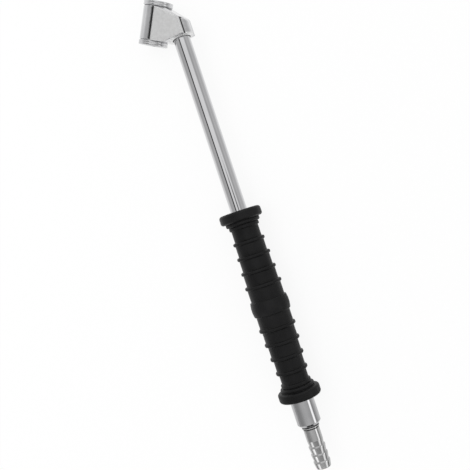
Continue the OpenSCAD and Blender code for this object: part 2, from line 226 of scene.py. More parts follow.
def lathe_marks(tree, line, scale):
    """Noise that is the same all round a line, as a turning tool leaves it."""
    parts = add(tree, "ShaderNodeSeparateXYZ", Vector=along_line(tree, line)).outputs
    squares = [math_node(tree, "POWER", parts[name], 2.0) for name in ("X", "Y")]
    radius = math_node(tree, "SQRT", math_node(tree, "ADD", *squares))
    flat = add(tree, "ShaderNodeCombineXYZ", X=radius, Y=parts["Z"])
    return noise(tree, flat.outputs[0], scale, detail=2.0)


def bump(tree, height, depth, below=None):
    """Height in 0..1 over a depth in metres, on top of another bump."""
    node = add(tree, "ShaderNodeBump", Height=height, Distance=depth, Strength=1.0)
    if below is not None:
        tree.links.new(below, node.inputs["Normal"])
    return node.outputs["Normal"]


def material(name, colours, roughness, metallic, normal, **uniform):
    """A Principled material. colours, roughness and normal are functions of its tree, and
    metallic may be one."""
    made = bpy.data.materials.new(name)
    made.use_nodes = True
    tree = made.node_tree
    shader = tree.nodes["Principled BSDF"]
    tree.links.new(colours(tree), shader.inputs["Base Color"])
    tree.links.new(roughness(tree), shader.inputs["Roughness"])
    tree.links.new(normal(tree), shader.inputs["Normal"])
    if callable(metallic):
        tree.links.new(metallic(tree), shader.inputs["Metallic"])
    else:
        shader.inputs["Metallic"].default_value = metallic
    for key, value in uniform.items():
        shader.inputs[key.replace("_", " ")].default_value = value
    return made


def mixed(tree, share, first, second):
    """Colour that goes from the first to the second as the share goes from 0 to 1."""
    node = add(tree, "ShaderNodeMix", {"data_type": "RGBA"}, i0=share, i6=first, i7=second)
    return node.outputs[2]


def mixed_number(tree, share, first, second):
    """Number that goes from the first to the second as the share goes from 0 to 1."""
    return add(tree, "ShaderNodeMix", {"data_type": "FLOAT"}, i0=share, i2=first, i3=second).outputs[0]


def painted(tree, name):
    """A share from 0 to 1 that is stored at the mesh's points."""
    return add(tree, "ShaderNodeAttribute", {"attribute_name": name}).outputs["Fac"]


def two_tones(dark, light, scale, detail=4.0):
    """Colour that drifts between two tones in soft patches."""
    def colours(tree):
        share = spread(tree, noise(tree, position(tree), scale, detail), 0.0, 1.0)
        return mixed(tree, share, (*dark, 1.0), (*light, 1.0))
    return colours


def smudged(low, high, scale=90.0):
    """Roughness with fingermarks: soft patches with a finer grain in them."""
    def roughness(tree):
        where = position(tree)
        patches = noise(tree, where, scale, 4.0, 0.6)
        grain = noise(tree, where, scale * GRAIN_FINER, 2.0)
        plain = math_node(tree, "MULTIPLY", patches, 1 - GRAIN_SHARE)
        return spread(tree, math_node(tree, "MULTIPLY_ADD", grain, GRAIN_SHARE, plain), low, high)
    return roughness


def with_painted_shade(colours):
    """The same colours, with shade painted dark into creases and hollows."""
    return lambda tree: mixed(tree, painted(tree, "recess"), colours(tree), PAINTED_SHADE_DARK)


def cast_colour(tree):
    """Plating, paler on the satin flats."""
    chrome = two_tones(CHROME_DARK, CHROME_LIGHT, 120.0)(tree)
    satin = two_tones(SATIN_DARK, SATIN_LIGHT, 500.0)(tree)
    return mixed(tree, painted(tree, "satin"), chrome, satin)


def cast_metal(tree):
    """Plating all over, a little less of it on the satin flats."""
    return mixed_number(tree, painted(tree, "satin"), 1.0, SATIN_METAL)


def cast_roughness(tree):
    """Polished plating, with a satin field on the web's flats."""
    polished = smudged(0.07, 0.13)(tree)
    grain = spread(tree, noise(tree, position(tree), 1500.0, 3.0), *SATIN_ROUGH)
    plated = mixed_number(tree, painted(tree, "satin"), polished, grain)
    # Rougher where shade is painted dark into the creases and hollows
    return mixed_number(tree, painted(tree, "recess"), plated, PAINTED_SHADE_ROUGH)


def cast_normal(tree):
    """The faint waviness of a plated casting, and a grainy satin field."""
    where = position(tree)
    wave = bump(tree, noise(tree, where, 330.0, 2.0), 0.00006)
    grain = math_node(tree, "MULTIPLY", noise(tree, where, 1900.0, 3.0), painted(tree, "satin"))
    return bump(tree, grain, 0.00005, wave)


def turned_normal(line, scale, depth):
    """Fine rings that a turning tool leaves round a line."""
    def normal(tree):
        wave = bump(tree, noise(tree, position(tree), 400.0, 2.0), 0.00001)
        return bump(tree, lathe_marks(tree, line, scale), depth, wave)
    return normal


def drawn_normal(tree):
    """Fine lines that run along the tube."""
    where = stretched(tree, position(tree), (0.02, 1.0, 1.0))
    return bump(tree, noise(tree, where, 2500.0, 2.0), 0.000004)


def rubber_normal(tree):
    """Moulded rubber: soft unevenness with a fine matt grain."""
    where = position(tree)
    soft = bump(tree, noise(tree, where, 260.0, 3.0), 0.00010)
    return bump(tree, noise(tree, where, 2400.0, 4.0, 0.7), 0.00004, soft)


def fibre_normal(tree):
    """Pressed fibres, rough all over."""
    return bump(tree, noise(tree, position(tree), 3000.0, 5.0, 0.7), 0.00005)


# The casting's chrome has painted shade in its creases and round the stem
cast_chrome = material("cast_chrome", with_painted_shade(cast_colour), cast_roughness, cast_metal, cast_normal)
nut_chrome = {
    side: material(f"nut_chrome_{side}", two_tones(CHROME_DARK, CHROME_LIGHT, 160.0),
                   smudged(0.20, 0.28), 1.0, turned_normal(line, 2200.0, 0.00001))
    for side, line in SIDES.items()
}
tube_chrome = material("tube_chrome", two_tones(TUBE_DARK, TUBE_LIGHT, 60.0),
                       smudged(0.05, 0.09, 60.0), 1.0, drawn_normal)
coupling_chrome = material("coupling_chrome", two_tones(CHROME_DARK, CHROME_LIGHT, 110.0),
                           smudged(0.07, 0.12), 1.0, turned_normal(STEM, 2500.0, 0.000006))
# The tail's chrome has painted shade in its neck
tail_chrome = material("tail_chrome", with_painted_shade(two_tones(TAIL_DARK, TAIL_LIGHT, 140.0)),
                       smudged(0.10, 0.18), 1.0, turned_normal(STEM, 2200.0, 0.00001))
grip_rubber = material("grip_rubber", two_tones(GRIP_DARK, GRIP_LIGHT, 90.0),
                       smudged(0.36, 0.52, 120.0), 0.0, rubber_normal, Specular_IOR_Level=0.2)
seal_rubber = material("seal_rubber", two_tones(SEAL_DARK, SEAL_LIGHT, 300.0),
                       smudged(0.5, 0.7, 300.0), 0.0, rubber_normal)
brass = {
    side: material(f"turned_brass_{side}", two_tones(BRASS_DARK, BRASS_LIGHT, 300.0),
                   smudged(0.18, 0.32, 200.0), 1.0, turned_normal(line, 3000.0, 0.00002))
    for side, line in SIDES.items()
}
spring_steel = material("spring_steel", two_tones(STEEL_DARK, STEEL_LIGHT, 400.0),
                        smudged(0.2, 0.35, 300.0), 1.0, drawn_normal)
red_fibre = material("red_fibre", two_tones(FIBRE_DARK, FIBRE_LIGHT, 900.0),
                     smudged(0.6, 0.8, 500.0), 0.0, fibre_normal)


# ---------------------------------------------------------------- meshes

# Steps round a turned piece, and the largest step of an arc in its outline
TURN_STEPS = 144
ARC_STEP = math.radians(12)
# Moulding seams of turned rubber pieces: height in millimetres and half width as an angle
SEAM_H = 0.1
SEAM_ANGLE = math.radians(0.7)


def piece(name, points, faces, normals, finish, body, slot, replaced=()):
    """A finished mesh in tool axes, with its own normals, riding on a body."""
    mesh = bpy.data.meshes.new(name)
    mesh.from_pydata([to_row @ Vector(p) for p in points], [], faces)
    mesh.materials.append(finish)
    mesh.shade_smooth()
    turned = np.asarray(normals) @ np.array(to_row.to_3x3()).T
    mesh.normals_split_custom_set_from_vertices([Vector(n).normalized() for n in turned])
    made = bpy.data.objects.new(name, mesh)
    bpy.context.scene.collection.objects.link(made)
    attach(made, body)
    if replaced:
        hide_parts(*replaced)
    return made


def rounded(corners):
    """Closed outline with each corner (along, radius, rounding) replaced by an arc, as points
    with their outward directions. The corners run so that the material is on their left."""
    points, directions = [], []
    count = len(corners)
    for i, (x, r, size) in enumerate(corners):
        here = np.array([x, r], float)
        before = unit(here - np.array(corners[i - 1][:2]))
        after = unit(np.array(corners[(i + 1) % count][:2]) - here)
        turn = math.atan2(before[0] * after[1] - before[1] * after[0], before @ after)
        reach = size * math.tan(abs(turn) / 2)
        side = 1.0 if turn > 0 else -1.0
        start_out = np.array([before[1], -before[0]])
        centre = here - before * reach - side * start_out * size
        steps = max(1, math.ceil(abs(turn) / ARC_STEP))
        for k in range(steps + 1):
            angle = turn * k / steps
            out = np.array([
                start_out[0] * math.cos(angle) - start_out[1] * math.sin(angle),
                start_out[0] * math.sin(angle) + start_out[1] * math.cos(angle),
            ])
            points.append(centre + side * out * size)
            directions.append(out)
    return np.array(points), np.array(directions)


def turned(name, line, corners, finish, body, slot, replaced=(), seam=False):
    """A piece turned about a line from its outline, with two moulding seams if asked."""
    outline, directions = rounded(corners)
    origin, axis = line
    first = unit(np.cross(axis, (0.0, 0.0, 1.0)))
    second = np.cross(axis, first)
    angles = np.arange(TURN_STEPS) * 2 * math.pi / TURN_STEPS
    if seam:
        beside = SEAM_ANGLE * np.array([-2, -1, 1, 2])
        angles = np.sort(np.concatenate([angles, beside % (2 * math.pi), math.pi + beside]))
    around = np.outer(np.cos(angles), first) + np.outer(np.sin(angles), second)
    points = origin + outline[:, None, 0, None] * axis + outline[:, None, 1, None] * around
    normals = directions[:, None, 0, None] * axis + directions[:, None, 1, None] * around
    if seam:
        off = np.abs((angles + math.pi / 2) % math.pi - math.pi / 2)
        ridge = SEAM_H * np.exp(-(off / SEAM_ANGLE) ** 2)
        outer = outline[:, 1] > outline[:, 1].min() + SEAM_H
        points = points + (outer[:, None] * ridge)[..., None] * around
    rows = len(outline)
    index = np.arange(rows * len(angles)).reshape(rows, len(angles))
    down, right = np.roll(index, -1, axis=0), np.roll(index, -1, axis=1)
    both = np.roll(down, -1, axis=1)
    faces = np.stack([index, down, both, right], axis=-1).reshape(-1, 4).tolist()
    points, normals = points.reshape(-1, 3), normals.reshape(-1, 3)
    return piece(name, points, faces, normals, finish, body, slot, replaced)


# ---------------------------------------------------------------- head casting

# Sizes as in the CAD source, in millimetres
BARREL_D = 16.8
WEB_T = 16.3
WEB_BACK = 5.5
WEB_DROP = 1.5
FOOT_GAP = 0.25
SOCKET_D = 14.7
SOCKET_BACK = 8.7
SOCKET_LIP = 1.2
SEPTUM_T = 1.6
CHAMBER_D = 9.4
NUT_THREAD_D = 13.4
PASSAGE_D = 4.0
STEM_BORE_D = 6.4
# How much wider the head's bores are than the stem and the nuts' threads, how much narrower the
# one behind the stem is than the stem's bore, and how far a cut runs past a face
STEM_SLACK = 0.08
THREAD_SLACK = 0.1
CUT_RELIEF = 0.3
CUT = 2.0
# Roundings of a casting: the barrel's rims, the web's edges and the corner between the two. The
# web's edges are sharper near its back and its lower foot, where they have SHARP_SHARE of their
# rounding and reach all of it SHARP_RUN further on
RIM_CHAMFER = 0.9
WEB_ROUND = 0.7
SHARP_RUN = 1.6
SHARP_SHARE = 0.3
FILLET = 0.8
LEAST_FILLET = 0.001
# Crown of the shoulder: how far back its peak lies from the head's axis, how far its bevel cuts
# into the flats, and how deep the bevel runs
SHOULDER_BACK = 7.9
SHOULDER_IN = 0.4
SHOULDER_BEVEL = 2.6
# Satin fields: the least upright part of a flat's direction, how far under and over the flat a
# point may lie, and how far the lip's satin stays from the stem and runs past the socket
SATIN_EDGE = 0.995
FLAT_NEAR = 0.2
FLAT_OVER = 0.01
LIP_FROM_STEM = 0.3
LIP_PAST = 0.1
# Painted shade in dark creases. One runs along the barrel, between two distances behind its axis, and
# ends short of the nuts. One is the wall of the step beside the stem, up to a height. One rings the stem.
CREASE_FROM = 0.8
CREASE_TO = 1.8
CREASE_END = 0.4
CREASE_NEAR = 0.1
WALL_TOP = 7.5
WALL_FADE = 1.0
WALL_FACING = 0.9
MOUTH_W = 0.8
MOUTH_FADE = 0.5
FADE = 0.2
# Cell of the grid that the casting's skin is drawn from, the share of the way to its neighbours'
# middle that a point goes in one round, and the least steepness of the field that a point's way
# to the surface is worked out with
CELL = 0.34
EVEN_SHARE = 0.5
LEAST_STEEP = 0.2

_, barrel_end, _, _ = turned_size("head_body", UPPER)
seat_under = turned_size("upper_valve_seat", UPPER)[0]
nut_low, nut_face, _, nut_r = turned_size("upper_face_nut", UPPER)
barrel_r = BARREL_D / 2
socket_r = SOCKET_D / 2
_, _, stem_bore_r, stem_r = turned_size("stem_tube", STEM)
seal_depth = -turned_size("stem_seal", STEM)[0]
passage_x = -(seal_depth + PASSAGE_D / 2 + CUT_RELIEF)
# Straight back from the head's axis, towards the tail
behind = np.array([head_axis[1], -head_axis[0]])


def head_point(back, out):
    """A place in the XY plane, given back from the head's axis and out along it."""
    return head_mid[:2] + back * behind + out * head_axis[:2]


def web_outline():
    """Corners of the web in the XY plane. The last two are the ends of the shoulder's slope."""
    slope_top = head_point(barrel_r, barrel_end - WEB_DROP)
    slope_low = np.array([-SOCKET_BACK, socket_r])
    slope_run = slope_low - slope_top
    foot = barrel_end - FOOT_GAP
    peak = slope_top + slope_run * (foot - barrel_end + WEB_DROP) / (slope_run @ head_axis[:2])
    corner = slope_top + slope_run * (WEB_BACK - slope_top[1]) / slope_run[1]
    low_back = head_point(barrel_r, -barrel_end)
    socket_corner = np.array([-SOCKET_LIP / 2, -socket_r])
    run = socket_corner - low_back
    cut_share = (barrel_end + (low_back - head_mid[:2]) @ head_axis[:2]) / -(run @ head_axis[:2])
    cut = low_back + run * cut_share
    return np.array([
        head_point(0, foot),
        head_point(0, -barrel_end),
        cut,
        socket_corner,
        [-SOCKET_LIP / 2, WEB_BACK],
        corner,
        peak,
    ])


def inside_outline(x, y, corners):
    """Signed distance to a closed outline, less than zero inside."""
    nearest = np.full(x.shape, np.inf)
    sign = np.ones(x.shape)
    for a, b in zip(corners, np.roll(corners, -1, axis=0)):
        edge = b - a
        ax, ay = x - a[0], y - a[1]
        share = np.clip((ax * edge[0] + ay * edge[1]) / (edge @ edge), 0, 1)
        nearest = np.minimum(nearest, (ax - edge[0] * share) ** 2 + (ay - edge[1] * share) ** 2)
        above_a, below_b = y >= a[1], y < b[1]
        left = edge[0] * ay > edge[1] * ax
        sign = np.where((above_a & below_b & left) | (~above_a & ~below_b & ~left), -sign, sign)
    return sign * np.sqrt(nearest)


def merge(a, b, fillet):
    """Union of two distances with a fillet between them."""
    fillet = np.maximum(fillet, LEAST_FILLET)
    h = np.maximum(fillet - np.abs(a - b), 0) / fillet
    return np.minimum(a, b) - h * h * fillet / 4


def block(across, along, size):
    """Joins a distance across and one along into a solid with rounded edges."""
    a, b = across + size, along + size
    return np.minimum(np.maximum(a, b), 0) + np.hypot(np.maximum(a, 0), np.maximum(b, 0)) - size


def rod(p, line, low, high, radius, size=0.0):
    """Distance to a cylinder between two places on a line."""
    origin, axis = line
    away = p - origin
    along = away @ axis
    across = np.sqrt(np.maximum((away ** 2).sum(-1) - along ** 2, 0))
    return block(across - radius, np.abs(along - (low + high) / 2) - (high - low) / 2, size)


web = web_outline()
web_corner, web_peak = web[-2:]
slope = unit(web_corner - web_peak)
slope_out = np.array([-slope[1], slope[0]])
shoulder_peak = head_point(SHOULDER_BACK, barrel_end - FOOT_GAP)
shoulder_rise = (shoulder_peak - web_peak) @ slope_out
crowned_web = np.concatenate([web[:-1], [shoulder_peak]])
bevel_across, bevel_down = unit([SHOULDER_BEVEL, shoulder_rise + SHOULDER_IN])


def head_form(p):
    """Signed distance to the head casting, in millimetres."""
    over_flat = np.abs(p[:, 2]) - WEB_T / 2
    over_slope = (p[:, :2] - web_peak) @ slope_out
    over_bevel = (over_slope + SHOULDER_IN) * bevel_across + over_flat * bevel_down
    barrel = rod(p, UPPER, -barrel_end, barrel_end, barrel_r, RIM_CHAMFER)
    to_edge = np.minimum((WEB_BACK - p[:, 1]) / SHARP_RUN, (p - head_mid) @ head_axis / SHARP_RUN)
    web_round = WEB_ROUND * np.clip(to_edge, SHARP_SHARE, 1)
    plate = block(inside_outline(p[:, 0], p[:, 1], crowned_web), over_flat, web_round)
    plate = block(plate, over_bevel, SHARP_SHARE * WEB_ROUND)
    fillet = FILLET * np.clip(-over_flat - WEB_ROUND, 0, 1)
    socket = rod(p, STEM, web_corner[0], 0.0, socket_r, SOCKET_LIP)
    socket = block(socket, over_slope, WEB_ROUND)
    outside = np.minimum(merge(barrel, plate, fillet), socket)
    cross_passage = (np.array([passage_x, 0, 0]), np.array([0, -1.0, 0]))
    holes = [
        rod(p, STEM, -seal_depth, CUT, stem_r + STEM_SLACK),
        rod(p, STEM, passage_x, 0.0, STEM_BORE_D / 2 - CUT_RELIEF),
        rod(p, UPPER, -SEPTUM_T, SEPTUM_T, PASSAGE_D / 2),
        rod(p, cross_passage, 0.0, -head_mid[1], PASSAGE_D / 2),
    ]
    for line in SIDES.values():
        holes.append(rod(p, line, SEPTUM_T / 2, nut_face, CHAMBER_D / 2))
        holes.append(rod(p, line, seat_under, nut_face, NUT_THREAD_D / 2 + THREAD_SLACK))
    return np.maximum(outside, -np.minimum.reduce(holes))


def gradient(form, p, step=0.01):
    """Slope of a distance field at points."""
    shifts = np.eye(3) * step
    return np.stack([form(p + s) - form(p - s) for s in shifts], axis=-1) / (2 * step)


def skin(form, low, high, cell):
    """Closed quad mesh of a distance field: one point in each cell that the surface crosses."""
    counts = np.ceil((high - low) / cell).astype(int) + 1
    axes = [low[i] + cell * np.arange(counts[i]) for i in range(3)]
    grid = np.stack(np.meshgrid(*axes, indexing="ij"), axis=-1)
    value = np.concatenate([form(part.reshape(-1, 3)) for part in grid]).reshape(counts)
    inside = value < 0
    cells = counts - 1
    corner_steps = [np.array(c) for c in np.ndindex(2, 2, 2)]

    def corner(field, c):
        return field[c[0]:c[0] + cells[0], c[1]:c[1] + cells[1], c[2]:c[2] + cells[2]]

    total, count = np.zeros((*cells, 3)), np.zeros(cells)
    for c in corner_steps:
        for i in range(3):
            if c[i]:
                continue
            d = c.copy()
            d[i] = 1
            a, b = corner(value, c), corner(value, d)
            crossed = corner(inside, c) != corner(inside, d)
            share = np.where(crossed, a / np.where(crossed, a - b, 1.0), 0.0)
            where = np.where(crossed[..., None], c + share[..., None] * (d - c), 0.0)
            total += where
            count += crossed
    used = count > 0
    index = np.full(cells, -1)
    index[used] = np.arange(used.sum())
    first = np.stack(np.nonzero(used), axis=-1)
    points = low + cell * (first + total[used] / count[used][:, None])
    faces = []
    for i in range(3):
        j, k = (i + 1) % 3, (i + 2) % 3
        span = [slice(1, None)] * 3
        span[i] = slice(0, cells[i])
        span[j], span[k] = slice(1, cells[j]), slice(1, cells[k])
        ahead = list(span)
        ahead[i] = slice(1, cells[i] + 1)
        a, b = inside[tuple(span)], inside[tuple(ahead)]

        def around(dj, dk):
            part = list(span)
            part[j] = slice(1 - dj, cells[j] - dj)
            part[k] = slice(1 - dk, cells[k] - dk)
            return index[tuple(part)]

        quads = np.stack([around(1, 1), around(0, 1), around(0, 0), around(1, 0)], axis=-1)
        faces.append(quads[a & ~b])
        faces.append(quads[~a & b][:, ::-1])
    return points, np.concatenate(faces)


def settle(form, points, faces, rounds=3):
    """Evens the points out along the surface and sets them exactly on it. Gives them back with
    the surface's directions there."""
    ends = np.concatenate([np.stack([faces[:, i], faces[:, (i + 1) % 4]], axis=-1) for i in range(4)])
    for _ in range(rounds):
        middle = np.zeros_like(points)
        near = np.zeros(len(points))
        np.add.at(middle, ends[:, 0], points[ends[:, 1]])
        np.add.at(near, ends[:, 0], 1)
        step = middle / near[:, None] - points
        out = gradient(form, points)
        out /= np.maximum(np.linalg.norm(out, axis=1, keepdims=True), TINY)
        points = points + EVEN_SHARE * (step - (step * out).sum(1, keepdims=True) * out)
        for _ in range(2):
            slopes = gradient(form, points)
            steep = np.maximum((slopes ** 2).sum(1, keepdims=True), LEAST_STEEP)
            points = points - slopes * (form(points)[:, None] / steep)
    out = gradient(form, points)
    return points, out / np.maximum(np.linalg.norm(out, axis=1, keepdims=True), TINY)


def band(value, low, high, soft=FADE):
    """1 between two values, falling to 0 just outside them."""
    return np.clip(np.minimum(value - low, high - value) / soft + 1, 0, 1)


def paint_points(made, name, values):
    """Stores a share from 0 to 1 at each point of a piece, for its material."""
    values = values.astype(np.float32)
    made.data.attributes.new(name, "FLOAT", "POINT").data.foreach_set("value", values)


def satin_share(points, normals):
    """Where the head is satin: on the web's two flats and on the socket's lip."""
    flat = np.clip((np.abs(normals[:, 2]) - SATIN_EDGE) / (1 - SATIN_EDGE), 0, 1)
    over_flat = np.abs(points[:, 2]) - WEB_T / 2
    from_stem = np.linalg.norm(points[:, 1:], axis=1)
    lip = band(points[:, 0], -SOCKET_LIP, CUT)
    lip = lip * (from_stem > stem_r + LIP_FROM_STEM) * (from_stem < socket_r + LIP_PAST)
    return np.maximum(flat * (over_flat < FLAT_OVER) * (over_flat > -FLAT_NEAR), lip)


def painted_shade_share(points, normals):
    """Where shade is painted dark on the head: along the barrel, on the step by the upper flat and round
    the stem.
    """
    away = points - head_mid
    back = away[:, :2] @ behind
    out = np.abs(away @ head_axis)
    high = points[:, 2]
    crease = band(back, CREASE_FROM, CREASE_TO) * (np.abs(high) > WEB_T / 2 - CREASE_NEAR)
    crease = crease * np.clip((barrel_end - CREASE_END - out) / FADE, 0, 1)
    wall = (normals[:, 1] > WALL_FACING) * (np.abs(points[:, 1] - WEB_BACK) < FLAT_NEAR)
    wall = wall * (high > 0) * np.clip((WALL_TOP - high) / WALL_FADE, 0, 1)
    from_stem = np.linalg.norm(points[:, 1:], axis=1)
    at_end = points[:, 0] > -CREASE_NEAR
    mouth = at_end * np.clip((stem_r + MOUTH_W - from_stem) / MOUTH_FADE, 0, 1)
    return np.maximum.reduce([crease, wall, mouth])


def head_casting():
    """One closed skin for the whole casting, with its satin fields and the shade painted into its
    creases.
    """
    cad_points = tool_points(node_points("head_body"))
    low, high = cad_points.min(0) - 3 * CELL, cad_points.max(0) + 3 * CELL
    points, faces = skin(head_form, low, high, CELL)
    points, normals = settle(head_form, points, faces)
    made = piece("head_casting", points, faces.tolist(), normals, cast_chrome, "inflator", "cast_chrome",
                 ["head_body"])
    paint_points(made, "satin", satin_share(points, normals))
    # Painted shade: along the barrel, on the step by the upper flat and round the stem
    paint_points(made, "recess", painted_shade_share(points, normals))


# ---------------------------------------------------------------- turned pieces

# Outlines are lists of corners, each with its place along the line, its radius and its rounding.
# EDGE is the rounding of an edge that no one sees or touches.
EDGE = 0.12
# A face nut: how far inside the washer's pocket and the thread its own radii lie, the lead-in of
# its mouth, a shallow groove in its face, a waist round its rim and the rim's rounding
POCKET_SLACK = 0.1
NUT_SLACK = 0.05
LEAD_IN = 0.4
FACE_GROOVE_IN = 2.1
FACE_GROOVE_HALF = 0.35
FACE_GROOVE_DEEP = 0.3
RIM_WAIST_HALF = 0.35
RIM_WAIST_DEEP = 0.15
RIM_ROUND = 0.5
WASHER_LEAD = 0.45


def face_nut(side):
    """Chromed nut: a skirt with the washer's pocket, a rim and a mouth with a turned face."""
    line = SIDES[side]
    _, mouth_floor, _, washer_r = turned_size(f"{side}_seal_washer", line)
    pocket_r = washer_r + POCKET_SLACK
    mouth_r = mount(f"{side}_mouth")["dims"]["r_mm"]
    skirt_r = NUT_THREAD_D / 2 - NUT_SLACK
    rim_mid = (nut_face + barrel_end) / 2
    groove_r = nut_r - FACE_GROOVE_IN
    groove_floor = nut_face - FACE_GROOVE_DEEP
    corners = [
        (nut_low, pocket_r, EDGE),
        (mouth_floor, pocket_r, EDGE),
        (mouth_floor, mouth_r, EDGE),
        (nut_face - LEAD_IN, mouth_r, 0.2),
        (nut_face, mouth_r + LEAD_IN, 0.2),
        (nut_face, groove_r - FACE_GROOVE_HALF, 0.15),
        (groove_floor, groove_r - FACE_GROOVE_HALF, EDGE),
        (groove_floor, groove_r + FACE_GROOVE_HALF, EDGE),
        (nut_face, groove_r + FACE_GROOVE_HALF, 0.15),
        (nut_face, nut_r, RIM_ROUND),
        (rim_mid + RIM_WAIST_HALF, nut_r, 0.3),
        (rim_mid, nut_r - RIM_WAIST_DEEP, 0.25),
        (rim_mid - RIM_WAIST_HALF, nut_r, 0.3),
        (barrel_end, nut_r, RIM_ROUND),
        (barrel_end, skirt_r, EDGE),
        (nut_low, skirt_r, EDGE),
    ]
    node = f"{side}_face_nut"
    turned(f"{side}_nut_ring", line, corners, nut_chrome[side], "inflator", "nut_chrome", [node])


def seal_washer(side):
    """Rubber washer with a lead-in towards the mouth."""
    node = f"{side}_seal_washer"
    line = SIDES[side]
    low, high, inner, outer = turned_size(node, line)
    corners = [
        (low, inner, 0.15),
        (high - WASHER_LEAD, inner, 0.4),
        (high, inner + WASHER_LEAD, 0.4),
        (high, outer, 0.15),
        (low, outer, 0.15),
    ]
    turned(f"{side}_washer", line, corners, seal_rubber, "inflator", "seal_rubber", [node])


COIL_TURNS = 3
COIL_STEPS = 40
COIL_SIDES = 12
# Share of the wire that lies flat at each end
COIL_FLAT = 0.125


def coil(side):
    """Valve spring with closed ends that lie flat."""
    node = f"{side}_valve_spring"
    origin, axis = line = SIDES[side]
    low, high, inner, outer = turned_size(node, line)
    wire_r, mid_r = (outer - inner) / 2, (outer + inner) / 2
    first = unit(np.cross(axis, (0.0, 0.0, 1.0)))
    second = np.cross(axis, first)
    steps = COIL_STEPS * COIL_TURNS
    points, normals = [], []
    for i in range(steps + 1):
        share = i / steps
        rise = min(max((share - COIL_FLAT) / (1 - 2 * COIL_FLAT), 0.0), 1.0)
        height = low + wire_r + rise * (high - low - 2 * wire_r)
        turn = 2 * math.pi * COIL_TURNS * share
        out = math.cos(turn) * first + math.sin(turn) * second
        for k in range(COIL_SIDES):
            angle = 2 * math.pi * k / COIL_SIDES
            normal = math.cos(angle) * out + math.sin(angle) * axis
            points.append(origin + height * axis + mid_r * out + wire_r * normal)
            normals.append(normal)
    faces = []
    for i in range(steps):
        a, b = i * COIL_SIDES, (i + 1) * COIL_SIDES
        for k in range(COIL_SIDES):
            n = (k + 1) % COIL_SIDES
            faces.append((a + k, a + n, b + n, b + k))
    faces.append(tuple(range(COIL_SIDES - 1, -1, -1)))
    faces.append(tuple(steps * COIL_SIDES + k for k in range(COIL_SIDES)))
    made = piece(f"{side}_coil", points, faces, normals, spring_steel, "inflator", "spring_wire", [node])
    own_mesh(made)


def plain_ring(name, node, bore_round, rim_round, finish, slot):
    """A tube or washer on the stem's axis, as long and as wide as its CAD node."""
    low, high, inner, outer = turned_size(node, STEM)
    bore = [(low, inner, bore_round), (high, inner, bore_round)]
    rim = [(high, outer, rim_round), (low, outer, rim_round)]
    turned(name, STEM, bore + rim, finish, "inflator", slot, [node])


# ---------------------------------------------------------------- grip

# Radii and lengths in millimetres. The sleeve narrows by the same step at each rib.
FLANGE_W = 5.8
FLANGE_ROUNDS = (1.5, 1.8)
WAIST_MID_R = 10.2
WAIST_END_R = 8.2
BAND_W = 8.8
BAND_R = 11.5
BAND_CROWN = 0.5
BAND_LEAN = 0.15
BAND_SHIFT = 0.6
RIB_COUNT = 4
RIB_FIRST = 13.1
RIB_PITCH = 8.9
RIB_R = 1.2
RIB_TOP = 0.75
RIB_FOOT = 1.25
RING_OUTER_R = 10.3
RING_INNER_R = 9.1
RING_W = 2.4
RING_LEAN = 0.3
RING_GROOVE = 0.45
# Where the groove at the foot of the outer ring and of the flange starts, is deepest and ends
RING_CUT = (-0.35, -0.1, 0.25)
FLANGE_CUT = (-0.45, -0.15, 0.1)
# The crown's rounding as a share of the radius of its arc, so that its ends keep a short flat
CROWN_SHARE = 0.86


def grip_side(length, flange_r):
    """Corners of the grip's outside from its band to one end, by their distance from the middle."""
    def sleeve(ribs_passed):
        return WAIST_MID_R + (WAIST_END_R - WAIST_MID_R) * ribs_passed / RIB_COUNT

    band_end = BAND_W / 2
    corners = [(band_end, BAND_R - BAND_CROWN, 0.45), (band_end + BAND_LEAN, sleeve(0), 0.4)]
    for i in range(RIB_COUNT):
        at = RIB_FIRST + i * RIB_PITCH
        top = (sleeve(i) + sleeve(i + 1)) / 2 + RIB_R
        corners += [
            (at - RIB_FOOT, sleeve(i), 0.3),
            (at - RIB_TOP, top, 0.8),
            (at + RIB_TOP, top, 0.8),
            (at + RIB_FOOT, sleeve(i + 1), 0.3),
        ]
    last = length - FLANGE_W
    mid = last - RING_W
    inner = mid - RING_W
    corners += [
        (inner, sleeve(RIB_COUNT), 0.4),
        (inner + RING_LEAN, RING_INNER_R, 0.6),
        (mid + RING_CUT[0], RING_INNER_R, 0.5),
        (mid + RING_CUT[1], RING_INNER_R - RING_GROOVE, 0.15),
        (mid + RING_CUT[2], RING_OUTER_R, 0.9),
        (last + FLANGE_CUT[0], RING_OUTER_R, 0.6),
        (last + FLANGE_CUT[1], RING_OUTER_R - RING_GROOVE, 0.2),
        (last + FLANGE_CUT[2], flange_r, FLANGE_ROUNDS[0]),
        (length, flange_r, FLANGE_ROUNDS[1]),
    ]
    return corners


def grip():
    """Moulded rubber sleeve: both sides of a crowned band, one of them mirrored."""
    start, end, bore_r, flange_r = turned_size("grip_sleeve", STEM)
    middle = (start + end) / 2 + BAND_SHIFT
    to_tail = grip_side(end - middle, flange_r)
    to_head = grip_side(middle - start, flange_r)
    crown_r = ((BAND_W / 2) ** 2 + BAND_CROWN ** 2) / (2 * BAND_CROWN)
    tangent = math.asin(BAND_W / 2 / crown_r)
    crown_top = BAND_R - BAND_CROWN + BAND_W / 2 * math.tan(tangent)
    corners = [(start, bore_r, 0.5), (end, bore_r, 0.5)]
    corners += [(middle + d, r, size) for d, r, size in reversed(to_tail)]
    corners += [(middle, crown_top, crown_r * CROWN_SHARE)]
    corners += [(middle - d, r, size) for d, r, size in to_head]
    turned("grip", STEM, corners, grip_rubber, "inflator", "grip_rubber", ["grip_sleeve"], seam=True)


# ---------------------------------------------------------------- coupling and hose tail

COUPLING_CHAMFER = 1.8
COUPLING_SLACK = 0.05
THREAD_RUNOUT = 0.3
COLLAR_T = 0.7
NECK_R = 4.2
NECK_W = 0.6
NECK_NEAR = 0.05
LAND_SLACK = 0.1
LAND_TAPER = 3.5
BARB_ROOT_R = 4.4
BARB_COUNT = 3
BARB_PITCH = 4.65
CREST_R = 5.05
CREST_W = 0.6
THREAD_R = 4.45


